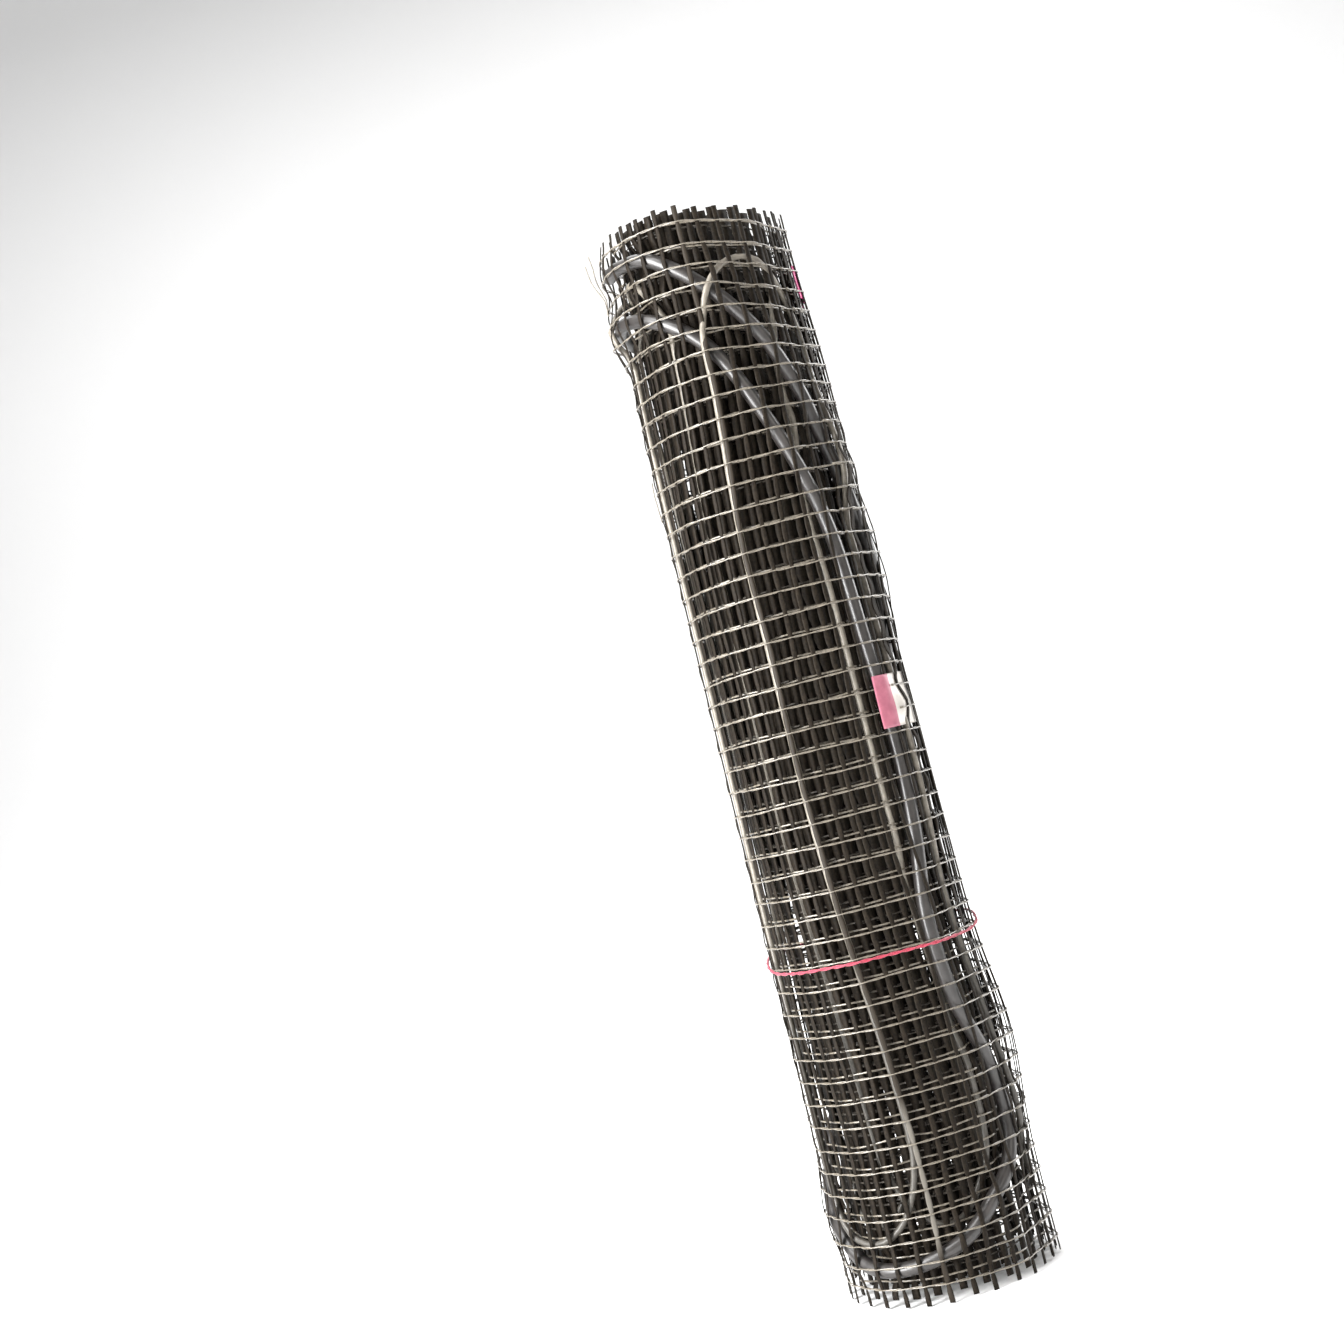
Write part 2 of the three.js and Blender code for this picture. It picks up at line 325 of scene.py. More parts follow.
def on_grid(field, angle, height):
    """The field at any angles and heights, between its grid points."""
    a = np.mod(angle, 360.0) / GRID_ANGLE_STEP
    h = np.clip((height - GRID_HEIGHTS[0]) / GRID_HEIGHT_STEP, 0.0, len(GRID_HEIGHTS) - 1.001)
    a0 = np.floor(a).astype(int) % len(GRID_ANGLES)
    a1 = (a0 + 1) % len(GRID_ANGLES)
    h0 = np.floor(h).astype(int)
    fa = a - np.floor(a)
    fh = h - h0
    low = field[a0, h0] * (1 - fa) + field[a1, h0] * fa
    high = field[a0, h0 + 1] * (1 - fa) + field[a1, h0 + 1] * fa
    return low * (1 - fh) + high * fh


lead_route = smooth_route(LEAD_ROUTE, 3.0)
splice_angles = np.linspace(SPLICE["from"], SPLICE["to"], 12)
splice_route = np.column_stack([splice_angles, np.full(12, SPLICE["height"])])
stuffed_route = np.vstack([lead_route, splice_route])
LEAD_DEPTH = LEAD_RADIUS - LEAD_PROUD
LEAD_TOP = LEAD_PROUD + 0.45


def leg_winds():
    """Winds of the heating cable's legs, the hidden ones each just beside a weft."""
    winds = list(OUTER_LEG_WINDS)
    length = float(np.interp(winds[-1], WIND_TABLE, LENGTH_TABLE))
    while length < MAT_LENGTH - 2 * INNER_LEG_SPACING:
        length += INNER_LEG_SPACING
        weft = FIRST_WEFT + WEFT_PITCH * round((length - FIRST_WEFT) / WEFT_PITCH)
        winds.append(float(np.interp(weft - HIDDEN_WEFT_BESIDE_CABLE, LENGTH_TABLE, WIND_TABLE)))
    return winds


def cable_places():
    """The whole heating cable as wind and height, from the splice inwards."""
    winds = leg_winds()
    low = LOWER_LOOP_MARGIN + LOOP_HEIGHT
    high = MAT_WIDTH - UPPER_LOOP_MARGIN - LOOP_HEIGHT
    start = SPLICE["to"] - EDGE_ANGLE - float(lean(SPLICE["height"]))
    places = [(start - away, SPLICE["height"] - drop) for away, drop in CABLE_FROM_SPLICE]
    for index, wind in enumerate(winds):
        down = index % 2 == 0
        first = high if down else low
        last = low if down else high
        for height in np.linspace(first, last, 40):
            places.append((wind, height))
        if index + 1 < len(winds):
            gap = winds[index + 1] - wind
            for turn in np.linspace(0.0, math.pi, 18)[1:-1]:
                reach = LOOP_HEIGHT * math.sin(turn)
                across = gap * (1.0 - math.cos(turn)) / 2
                places.append((wind + across, last - reach if down else last + reach))
    return np.array(places)


def over_lead(angle, height):
    """Least radius of the cable's centre where it runs over the lead."""
    places = np.column_stack([angle, height])
    distance = flat_distance(places, stuffed_route)
    clear = LEAD_PROUD + 0.3 + CABLE_RADIUS
    return roll_radius(height) + clear - 0.5 * np.maximum(distance - 3.0, 0.0)


cable_path = cable_places()
cable_outer = cable_path[cable_path[:, 0] < OUTER_RUN_END]


def outer_cable_line():
    """Angle, height and centre radius of the heating cable's outermost run."""
    wind, flat = cable_outer.T
    angle = sheet_angle(wind, flat)
    height = sheet_height(wind, flat)
    under = base_radius(wind, flat) - CABLE_UNDER_MESH
    return angle, height, soft_max(under, over_lead(angle, height), 0.6)


def surface_bump():
    """How far the lead and the crossings push the outer turn out, over the grid."""
    angles, heights = np.meshgrid(GRID_ANGLES, GRID_HEIGHTS, indexing="ij")
    flat_angle = angles - lean(heights)
    outer = roll_radius(heights) - MESH_INSET
    base = outer * corner_factor(flat_angle, CORNER_STRENGTH) * squash(angles, heights)
    lead_tops = roll_radius(stuffed_route[:, 1]) + LEAD_TOP
    surface = soft_max(base, highest_tent(stuffed_route, lead_tops, 0.3, 3.0))
    angle, height, centre = outer_cable_line()
    cable_tops = centre + CABLE_UNDER_MESH
    keep = slice(None, None, 2)
    route = np.column_stack([angle, height])[keep]
    surface = soft_max(surface, highest_tent(route, cable_tops[keep], 0.4, 2.0))
    return surface - base


def lead_nearness():
    """Over the grid, 1 at the lead and 0 from some way off it."""
    depth = highest_tent(stuffed_route, np.zeros(len(stuffed_route)), 1.0, 0.5)
    return smooth((depth + 10.0) / 6.0)


BUMP = surface_bump()
NEAR_LEAD = lead_nearness()


def slack_between_legs(wind, height):
    """How far the turns behind come up between the outer turn's cable legs."""
    legs = np.array(OUTER_LEG_WINDS)
    across = np.mod(wind[..., None] - legs + 180.0, 360.0) - 180.0
    away = np.abs(across).min(axis=-1) * math.radians(1.0) * roll_radius(height)
    return SLACK * smooth((away - 2.0) / 9.0)


def mesh_radius(wind, height):
    """Middle of the mesh anywhere on the mat."""
    angle = sheet_angle(wind, height)
    level = sheet_height(wind, height)
    bump = on_grid(BUMP, angle, level)
    near = on_grid(NEAR_LEAD, angle, level)
    outer = 1.0 - smooth((wind - OUTER_RUN_END) / 26.0)
    inner = smooth((wind - 440.0) / 60.0)
    deeper = np.exp(-np.maximum(turn_drop(wind) - 1.0, 0.0))
    slack = slack_between_legs(np.asarray(wind), height) * (1.0 - near) - LEAD_DENT * near * deeper
    return base_radius(wind, height) + bump * outer + slack * inner


def place(wind, height, offset=0.0, level_shift=0.0):
    """Points in millimetres for places on the mat, with an offset outwards."""
    angle = np.radians(sheet_angle(wind, height))
    radius = mesh_radius(wind, height) + offset
    level = sheet_height(wind, height) + level_shift
    return np.stack([radius * np.sin(angle), -radius * np.cos(angle), level], axis=-1)


# Building meshes

def swept(paths, half_width, half_thickness, sides, outwards=None, twist=None):
    """Vertices and faces of tubes along paths (strand, point, xyz), closed at both ends."""
    tangents = np.gradient(paths, axis=1)
    tangents /= np.linalg.norm(tangents, axis=2, keepdims=True)
    if outwards is None:
        outwards = paths * (1.0, 1.0, 0.0)
    across = np.cross(tangents, outwards)
    across /= np.linalg.norm(across, axis=2, keepdims=True)
    up = np.cross(across, tangents)
    strands, points, _ = paths.shape
    turns = np.linspace(0.0, 2 * math.pi, sides, endpoint=False)
    if twist is None:
        angles = np.broadcast_to(turns, (strands, points, sides))
    else:
        angles = turns + twist[..., None]
    wide = np.broadcast_to(half_width, (strands, points))[..., None, None]
    thick = np.broadcast_to(half_thickness, (strands, points))[..., None, None]
    rings = (
        paths[:, :, None, :]
        + across[:, :, None, :] * wide * np.cos(angles)[..., None]
        + up[:, :, None, :] * thick * np.sin(angles)[..., None]
    )
    index = np.arange(strands * points * sides).reshape(strands, points, sides)
    after = np.roll(index, -1, axis=2)
    quads = np.stack([index[:, :-1], after[:, :-1], after[:, 1:], index[:, 1:]], axis=-1)
    caps = np.concatenate([index[:, 0, ::-1], index[:, -1, :]])
    return rings.reshape(-1, 3), quads.reshape(-1, 4), caps


def build(name, parts, material):
    """One mesh object from swept parts, riding on the roll."""
    vertices = []
    loops = []
    starts = []
    count = 0
    offset = 0
    for points, quads, caps in parts:
        vertices.append(points)
        for faces in (quads, caps):
            if len(faces):
                loops.append((faces + count).ravel())
                starts.append(offset + np.arange(len(faces)) * faces.shape[1])
                offset += faces.size
        count += len(points)
    vertices = np.vstack(vertices) * METRES
    loops = np.concatenate(loops)
    starts = np.concatenate(starts)
    mesh = bpy.data.meshes.new(name)
    mesh.vertices.add(len(vertices))
    mesh.vertices.foreach_set("co", vertices.astype(np.float32).ravel())
    mesh.loops.add(len(loops))
    mesh.loops.foreach_set("vertex_index", loops.astype(np.int32))
    mesh.polygons.add(len(starts))
    mesh.polygons.foreach_set("loop_start", starts.astype(np.int32))
    mesh.update(calc_edges=True)
    mesh.validate()
    mesh.polygons.foreach_set("use_smooth", np.ones(len(mesh.polygons), bool))
    mesh.materials.append(material)
    piece = bpy.data.objects.new(name, mesh)
    bpy.context.collection.objects.link(piece)
    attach(piece, "root")
    return piece


def wander(strands, points, size, waves):
    """Slow random sideways wander of strands, as a sum of a few waves."""
    along = np.linspace(0.0, 1.0, points)
    total = np.zeros((strands, points))
    for wave in range(1, waves + 1):
        phase = rng.uniform(0.0, 2 * math.pi, (strands, 1))
        strength = rng.normal(0.0, size / math.sqrt(wave), (strands, 1))
        stretch = rng.uniform(0.7, 1.3, (strands, 1))
        total += strength * np.sin(2 * math.pi * wave * along * stretch + phase)
    return total


# The mesh

def warp_heights(count):
    return FRINGE + WARP_PITCH * np.arange(count)[:, None]


def outer_warps():
    """Twisted pairs of yarns of the outer turn, each with its own cut end at the free edge."""
    points = int(np.interp(OUTER_WIND, WIND_TABLE, LENGTH_TABLE) / 2.0)
    cut = rng.uniform(-1.2, 1.6, (WARP_COUNT, 1))
    share = np.linspace(0.0, 1.0, points)[None, :]
    wind = cut + share * (OUTER_WIND - cut)
    height = warp_heights(WARP_COUNT) + wander(WARP_COUNT, points, 0.28, 5)
    length = np.interp(wind, WIND_TABLE, LENGTH_TABLE)
    phase = math.pi * (length - FIRST_WEFT) / WEFT_PITCH
    parts = []
    for side in (-1.0, 1.0):
        over = side * (WEFT_HALF_THICKNESS + YARN_RADIUS * 0.8) * np.cos(phase)
        beside = side * YARN_SPREAD * np.sin(phase)
        paths = place(wind, height, over, beside)
        parts.append(swept(paths, YARN_RADIUS, YARN_RADIUS, 5))
    return parts


def deep_warps(start, end, step, sides):
    """Warp strands of the turns behind, each one flattened twisted strand."""
    lengths = np.interp([start, end], WIND_TABLE, LENGTH_TABLE)
    points = int((lengths[1] - lengths[0]) / step)
    length = np.linspace(lengths[0], lengths[1], points)
    wind = np.interp(length, LENGTH_TABLE, WIND_TABLE)[None, :]
    height = warp_heights(WARP_COUNT) + wander(WARP_COUNT, points, 0.35, 7)
    wind = np.broadcast_to(wind, height.shape)
    twist = math.pi * (length[None, :] - FIRST_WEFT) / WEFT_PITCH + rng.uniform(0, 6, (WARP_COUNT, 1))
    twist = np.broadcast_to(twist, height.shape)
    paths = place(wind, height, 0.25)
    return [swept(paths, 0.5, 0.36, sides, twist=twist)]


def weft_winds(start, end):
    """Winds of the wefts between two winds, with a little unevenness."""
    first, last = np.interp([start, end], WIND_TABLE, LENGTH_TABLE)
    lengths = np.arange(FIRST_WEFT, MAT_LENGTH, WEFT_PITCH)
    inside = (lengths >= first) & (lengths < min(last, MAT_LENGTH - 3.0))
    lengths = lengths[inside] + rng.normal(0.0, 0.25, inside.sum())
    return np.interp(lengths, LENGTH_TABLE, WIND_TABLE)


def wefts(winds, per_cell, sides, wide=1.0):
    """Flat strands along the roll, pinched where a warp clamps them, with cut ends as a fringe."""
    count = (WARP_COUNT - 1) * per_cell + 1
    cells = np.arange(count) / per_cell
    height = FRINGE + WARP_PITCH * cells
    ends = np.array([0.0, 2.5, 5.0])
    height = np.concatenate([ends, height, MAT_WIDTH - ends[::-1]])
    cells = np.concatenate([np.full(3, 0.5), cells, np.full(3, 0.5)])
    strands = len(winds)
    height = np.broadcast_to(height, (strands, len(height))).copy()
    height[:, :3] += rng.uniform(0.0, 1.2, (strands, 1)) * (1.0, 0.6, 0.3)
    height[:, -3:] -= rng.uniform(0.0, 1.2, (strands, 1)) * (0.3, 0.6, 1.0)
    pinch = np.abs(np.sin(math.pi * cells)) ** 0.6
    half = WEFT_HALF_PINCH + (WEFT_HALF_WIDTH - WEFT_HALF_PINCH) * pinch
    half = half * rng.uniform(0.88, 1.1, (strands, 1)) * wide
    wind = winds[:, None] + np.degrees(wander(strands, height.shape[1], 0.35, 6) / 46.0)
    paths = place(wind, height)
    return [swept(paths, half, WEFT_HALF_THICKNESS, sides)]


# Materials

def principled(name, roughness, **values):
    """A material with its shader, its nodes and its links."""
    material = bpy.data.materials.new(name)
    material.use_nodes = True
    nodes = material.node_tree.nodes
    shader = nodes["Principled BSDF"]
    shader.inputs["Roughness"].default_value = roughness
    for key, value in values.items():
        shader.inputs[key.replace("_", " ")].default_value = value
    return material, shader, nodes, material.node_tree.links


def noise_color(nodes, links, scale, stops, detail=3.0):
    """Object-space noise through a colour ramp."""
    coordinates = nodes.new("ShaderNodeTexCoord")
    noise = nodes.new("ShaderNodeTexNoise")
    noise.inputs["Scale"].default_value = scale
    noise.inputs["Detail"].default_value = detail
    ramp = nodes.new("ShaderNodeValToRGB")
    ramp.color_ramp.elements[0].position = stops[0][0]
    ramp.color_ramp.elements[0].color = (*stops[0][1], 1.0)
    ramp.color_ramp.elements[1].position = stops[-1][0]
    ramp.color_ramp.elements[1].color = (*stops[-1][1], 1.0)
    for position, color in stops[1:-1]:
        element = ramp.color_ramp.elements.new(position)
        element.color = (*color, 1.0)
    links.new(coordinates.outputs["Object"], noise.inputs["Vector"])
    links.new(noise.outputs["Fac"], ramp.inputs["Fac"])
    return noise, ramp


def add_bump(nodes, links, shader, source, strength, distance):
    bump = nodes.new("ShaderNodeBump")
    bump.inputs["Strength"].default_value = strength
    bump.inputs["Distance"].default_value = distance
    links.new(source, bump.inputs["Height"])
    links.new(bump.outputs["Normal"], shader.inputs["Normal"])


def roughness_from(nodes, links, shader, source, low, high):
    spread = nodes.new("ShaderNodeMapRange")
    spread.inputs["To Min"].default_value = low
    spread.inputs["To Max"].default_value = high
    links.new(source, spread.inputs["Value"])
    links.new(spread.outputs["Result"], shader.inputs["Roughness"])


def strand_material(name, stops, low, high, coat, gloss):
    """Coated glass-fibre strand: dark, glossy, with uneven coating."""
    material, shader, nodes, links = principled(name, low, Coat_Weight=coat, Coat_Roughness=0.15)
    shader.inputs["Specular IOR Level"].default_value = gloss
    noise, ramp = noise_color(nodes, links, 900.0, stops)
    links.new(ramp.outputs["Color"], shader.inputs["Base Color"])
    roughness_from(nodes, links, shader, noise.outputs["Fac"], low, high)
    add_bump(nodes, links, shader, noise.outputs["Fac"], 0.5, 0.0002)
    return material


def painted_shade_below(nodes, links, color, share, bottom, top):
    """The colour as it is above one height, and darkened to a share of it below another: painted shade.
    """
    coordinates = nodes.new("ShaderNodeTexCoord")
    split = nodes.new("ShaderNodeSeparateXYZ")
    spread = nodes.new("ShaderNodeMapRange")
    spread.inputs["From Min"].default_value = bottom
    spread.inputs["From Max"].default_value = top
    spread.inputs["To Min"].default_value = share
    darken = nodes.new("ShaderNodeVectorMath")
    darken.operation = "SCALE"
    links.new(coordinates.outputs["Object"], split.inputs["Vector"])
    links.new(split.outputs["Z"], spread.inputs["Value"])
    links.new(color, darken.inputs["Vector"])
    links.new(spread.outputs["Result"], darken.inputs["Scale"])
    return darken.outputs["Vector"]


def sheath_material(name, stops, scale, low, high, coat, painted_shade_share=1.0):
    """Smooth cable sheath with slight dirt and unevenness, and painted shade that darkens it below a
    height when its share is under 1.
    """
    material, shader, nodes, links = principled(name, low, Coat_Weight=coat, Coat_Roughness=0.2)
    noise, ramp = noise_color(nodes, links, scale, stops, 5.0)
    color = painted_shade_below(nodes, links, ramp.outputs["Color"], painted_shade_share, PAINTED_SHADE_BOTTOM, PAINTED_SHADE_TOP)
    links.new(color, shader.inputs["Base Color"])
    roughness_from(nodes, links, shader, noise.outputs["Fac"], low, high)
    add_bump(nodes, links, shader, noise.outputs["Fac"], 0.15, 0.0003)
    return material


def string_material(name, stops):
    material, shader, nodes, links = principled(name, 0.55, Sheen_Weight=0.4, Sheen_Roughness=0.4)
    noise, ramp = noise_color(nodes, links, 1400.0, stops, 4.0)
    links.new(ramp.outputs["Color"], shader.inputs["Base Color"])
    add_bump(nodes, links, shader, noise.outputs["Fac"], 0.7, 0.0002)
    return material


def paper_material(name, stops, roughness):
    material, shader, nodes, links = principled(name, roughness, Coat_Weight=0.25, Coat_Roughness=0.3)
    noise, ramp = noise_color(nodes, links, 260.0, stops, 6.0)
    links.new(ramp.outputs["Color"], shader.inputs["Base Color"])
    add_bump(nodes, links, shader, noise.outputs["Fac"], 0.2, 0.0002)
    return material


def ridge_material(dark, painted_highlight_color):
    """The weft on the ridge: dark as the others, with a painted highlight that makes it pale along its
    lower part.
    """
    material, shader, nodes, links = principled("weft_painted_highlight", 0.5)
    shader.inputs["Specular IOR Level"].default_value = 0.2
    # Height mask for the painted highlight: pale from about 30 to 78 mm up, dark above and below
    coordinates = nodes.new("ShaderNodeTexCoord")
    split = nodes.new("ShaderNodeSeparateXYZ")
    spread = nodes.new("ShaderNodeMapRange")
    spread.inputs["From Max"].default_value = 0.1
    ramp = nodes.new("ShaderNodeValToRGB")
    stops = ((0.20, dark), (0.30, painted_highlight_color), (0.78, painted_highlight_color), (0.90, dark))
    ramp.color_ramp.elements.new(0.5)
    ramp.color_ramp.elements.new(0.6)
    for element, (position, color) in zip(ramp.color_ramp.elements, stops):
        element.position = position
        element.color = (*color, 1.0)
    links.new(coordinates.outputs["Object"], split.inputs["Vector"])
    links.new(split.outputs["Z"], spread.inputs["Value"])
    links.new(spread.outputs["Result"], ramp.inputs["Fac"])
    links.new(ramp.outputs["Color"], shader.inputs["Base Color"])
    return material


def make_materials():
    warp = ((0.3, (0.112, 0.096, 0.073)), (0.7, (0.205, 0.178, 0.138)))
    weft = ((0.3, (0.0060, 0.0045, 0.0032)), (0.7, (0.020, 0.015, 0.010)))
    # The inner turns' warps are the same yarn as the outer warps, coloured darker as painted shade for
    # the inside of the roll
    inner = ((0.3, (0.030, 0.026, 0.020)), (0.7, (0.070, 0.060, 0.048)))
    cable = ((0.35, (0.14, 0.124, 0.100)), (0.65, (0.205, 0.182, 0.148)))
    lead = ((0.35, (0.019, 0.017, 0.016)), (0.65, (0.032, 0.028, 0.026)))
    splice = ((0.4, (0.010, 0.010, 0.011)), (0.6, (0.020, 0.020, 0.022)))
    red = ((0.3, (0.22, 0.008, 0.024)), (0.7, (0.44, 0.036, 0.075)))
    pink = ((0.35, (0.32, 0.085, 0.13)), (0.65, (0.40, 0.12, 0.17)))
    white = ((0.35, (0.46, 0.43, 0.39)), (0.65, (0.56, 0.53, 0.49)))
    magenta = ((0.35, (0.42, 0.014, 0.14)), (0.65, (0.52, 0.028, 0.18)))
    return {
        "warp": strand_material("coated_warp", warp, 0.2, 0.38, 0.7, 0.6),
        # inner_warp is the warp colour darkened as painted shade
        "inner": strand_material("inner_warp", inner, 0.35, 0.5, 0.2, 0.3),
        "weft": strand_material("coated_weft", weft, 0.5, 0.65, 0.0, 0.1),
        # The ridge weft's pale colour (0.11, 0.10, 0.085) is a painted highlight on its lower part
        "ridge": ridge_material(weft[1][1], (0.11, 0.10, 0.085)),
        # The heating cable's last value, 0.3, is painted shade: its colour darkened to 0.3 of itself low
        # on the roll
        "cable": sheath_material("heating_cable_sheath", cable, 420.0, 0.4, 0.55, 0.2, 0.3),
        "lead": sheath_material("cold_lead_sheath", lead, 240.0, 0.3, 0.45, 0.3),
        "splice": sheath_material("splice_sleeve_shrink", splice, 300.0, 0.4, 0.55, 0.1),
        "string": string_material("red_string", red),
        "pink": paper_material("label_rose", pink, 0.45),
        "white": paper_material("label_white", white, 0.45),
        "magenta": paper_material("marker_magenta", magenta, 0.4),
    }


# The pieces

def make_mesh(materials):
    outer = weft_winds(0.0, OUTER_WIND)
    second = weft_winds(OUTER_WIND, SECOND_WIND)
    inner = weft_winds(SECOND_WIND, 360.0 * TURNS)
    shown = build("mesh_outer_warps", outer_warps(), materials["warp"])
    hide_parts("mat_roll")
    ridge = np.abs(outer - RIDGE_WIND) < 7.0
    build("mesh_outer_wefts", wefts(outer[~ridge], 4, 6), materials["weft"])
    build("mesh_ridge_weft", wefts(outer[ridge], 4, 6), materials["ridge"])
    build("mesh_second_warps", deep_warps(OUTER_WIND, SECOND_WIND, 2.5, 5), materials["warp"])
    # Widened wefts behind: their extra dark width stands in for shade inside the roll
    build("mesh_second_wefts", wefts(second, 3, 5, SECOND_WEFT_WIDER), materials["weft"])
    # The inner turns' warps carry the warp colour darkened as painted shade
    build("mesh_inner_warps", deep_warps(SECOND_WIND, 360.0 * TURNS, 4.0, 4), materials["inner"])
    build("mesh_inner_wefts", wefts(inner, 2, 4, HIDDEN_WEFT_WIDER), materials["weft"])


def on_cylinder(angle, height, radius):
    """Points in millimetres from angles, heights and radii."""
    turn = np.radians(angle)
    return np.stack([radius * np.sin(turn), -radius * np.cos(turn), height], axis=-1)


def resampled(points, step):
    """The same line with even steps."""
    along = np.concatenate([[0.0], np.cumsum(np.linalg.norm(np.diff(points, axis=0), axis=1))])
    even = np.linspace(0.0, along[-1], max(int(along[-1] / step), 4))
    return np.stack([np.interp(even, along, points[:, axis]) for axis in range(3)], axis=-1)


def rounded_ends(count, radius, step, reach):
    """Radii along a cord that close in a round end over its last few points."""
    distance = np.minimum(np.arange(count), np.arange(count)[::-1]) * step
    share = np.clip(distance / (radius * reach), 0.0, 1.0)
    return radius * np.sqrt(np.clip(1.0 - (1.0 - share) ** 2, 0.02, 1.0))


def make_heating_cable(materials):
    angle, height, radius = outer_cable_line()
    outer = on_cylinder(angle, height, radius)
    wind, flat = cable_path[cable_path[:, 0] >= OUTER_RUN_END].T
    inner = place(wind, flat, -CABLE_UNDER_MESH)
    points = resampled(np.vstack([outer, inner]), 5.0)
    paths = points[None]
    part = swept(paths, CABLE_RADIUS, CABLE_RADIUS, 8)
    piece = build("heating_cable_run", [part], materials["cable"])
    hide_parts("heating_cable")


def make_cold_lead(materials):
    radius = roll_radius(lead_route[:, 1]) - LEAD_DEPTH
    points = resampled(on_cylinder(lead_route[:, 0], lead_route[:, 1], radius), 2.0)
    widths = rounded_ends(len(points), LEAD_RADIUS, 2.0, 0.4)[None]
    part = swept(points[None], widths, widths, 16)
    piece = build("cold_lead_run", [part], materials["lead"])
    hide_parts("cold_lead")


def make_splice(materials):
    angles = np.linspace(SPLICE["from"], SPLICE["to"], 30)
    depth = SPLICE["radius"] - SPLICE["proud"]
    radius = roll_radius(SPLICE["height"]) - depth
    points = on_cylinder(angles, np.full(30, SPLICE["height"]), np.full(30, radius))
    share = np.linspace(0.0, 1.0, 30)
    wide = SPLICE["radius"] * (0.72 + 0.28 * smooth(np.minimum(share, 1.0 - share) / 0.2))
    part = swept(points[None], wide[None], wide[None], 18)
    piece = build("splice_sleeve_shrunk", [part], materials["splice"])
    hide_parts("splice_sleeve")


def outer_skin(angle, height):
    """Middle of the outermost mesh at an angle and height."""
    wind = np.mod(angle - lean(height) - EDGE_ANGLE, 360.0)
    return mesh_radius(wind, height)


def taut_loop(height, clearance):
    """Points round the roll that a taut string takes over its bulges."""
    angles = np.arange(0.0, 360.0, 2.0)
    radius = outer_skin(angles, np.full(angles.shape, height)) + clearance
    turn = np.radians(angles)
    flat = np.column_stack([radius * np.sin(turn), -radius * np.cos(turn)])
    order = sorted(range(len(flat)), key=lambda i: (flat[i, 0], flat[i, 1]))

    def half(indices):
        """One side of the hull round the points, in the order given."""
        chain = []
        for i in indices:
            while len(chain) > 1:
                a = flat[chain[-1]] - flat[chain[-2]]
                b = flat[i] - flat[chain[-1]]
                if a[0] * b[1] - a[1] * b[0] > 0:
                    break
                chain.pop()
            chain.append(i)
        return chain

    hull = half(order)[:-1] + half(order[::-1])[:-1]
    corners = flat[hull]
    hull_angles = np.degrees(np.arctan2(corners[:, 0], -corners[:, 1]))
    by_angle = np.argsort(hull_angles)
    corners = corners[by_angle]
    closed = np.vstack([corners, corners[:1]])
    along = np.concatenate([[0.0], np.cumsum(np.linalg.norm(np.diff(closed, axis=0), axis=1))])
    even = np.linspace(0.0, along[-1], 361)[:-1]
    return np.column_stack([np.interp(even, along, closed[:, axis]) for axis in (0, 1)])


def make_string(materials):
    flat = taut_loop(STRING_HEIGHT, STRING_CLEARANCE)
    angles = np.degrees(np.arctan2(flat[:, 0], -flat[:, 1]))
    behind = (np.abs(angles) - STRING_RISE["from_angle"]) / STRING_RISE["over_angle"]
    rise = STRING_RISE["by"] * smooth(behind)
    centre = np.column_stack([flat, STRING_HEIGHT + rise])
    count = len(centre)
    ring = np.vstack([centre[-1:], centre, centre[:1]])
    tangent = ring[2:] - ring[:-2]
    tangent /= np.linalg.norm(tangent, axis=1, keepdims=True)
    outwards = centre * (1.0, 1.0, 0.0)
    outwards /= np.linalg.norm(outwards, axis=1, keepdims=True)
    across = np.cross(tangent, outwards)
    girth = np.linalg.norm(np.diff(centre, axis=0), axis=1).sum()
    twists = round(girth / STRING_TWIST)
    phase = 2 * math.pi * twists * np.arange(count) / count
    parts = []
    for ply in (0.0, math.pi):
        swirl = np.cos(phase + ply)[:, None] * across + np.sin(phase + ply)[:, None] * outwards
        path = centre + STRING_PLY_OFFSET * swirl
        path = np.vstack([path, path[:1]])
        parts.append(swept(path[None], STRING_PLY_RADIUS, STRING_PLY_RADIUS, 8))
    parts.extend(string_knot(centre[np.argmax(np.abs(angles))]))
    piece = build("tie_string_twisted", parts, materials["string"])
    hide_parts("tie_string")


def string_knot(at):
    """A small overhand knot behind the roll, with two short tails."""
    outwards = at * (1.0, 1.0, 0.0)
    outwards = outwards / np.linalg.norm(outwards)
    across = np.array([-outwards[1], outwards[0], 0.0])
    up = np.array([0.0, 0.0, 1.0])
    turn = np.linspace(0.0, 2 * math.pi, 40)
    x = np.sin(turn) + 1.6 * np.sin(2 * turn)
    y = np.cos(turn) - 1.6 * np.cos(2 * turn)
    z = -np.sin(3 * turn)
    trefoil = at + KNOT_SIZE * (x[:, None] * across + y[:, None] * up * 0.8 + z[:, None] * outwards)
    knot = (trefoil + outwards * TAIL_CORD_RADIUS)[None]
    parts = [swept(knot, KNOT_CORD_RADIUS, KNOT_CORD_RADIUS, 8)]
    for side in (-1.0, 1.0):
        share = np.linspace(0.0, 1.0, 24)[:, None]
        drop = -TAIL_DROP * share ** 1.3 * up
        aside = side * 7.0 * np.sin(share * 1.9) * across
        away = (1.2 + 1.6 * np.sin(share * 2.6)) * outwards
        tail = (at + drop + aside + away)[None]
        parts.append(swept(tail, TAIL_CORD_RADIUS, TAIL_CORD_RADIUS, 8))
    return parts


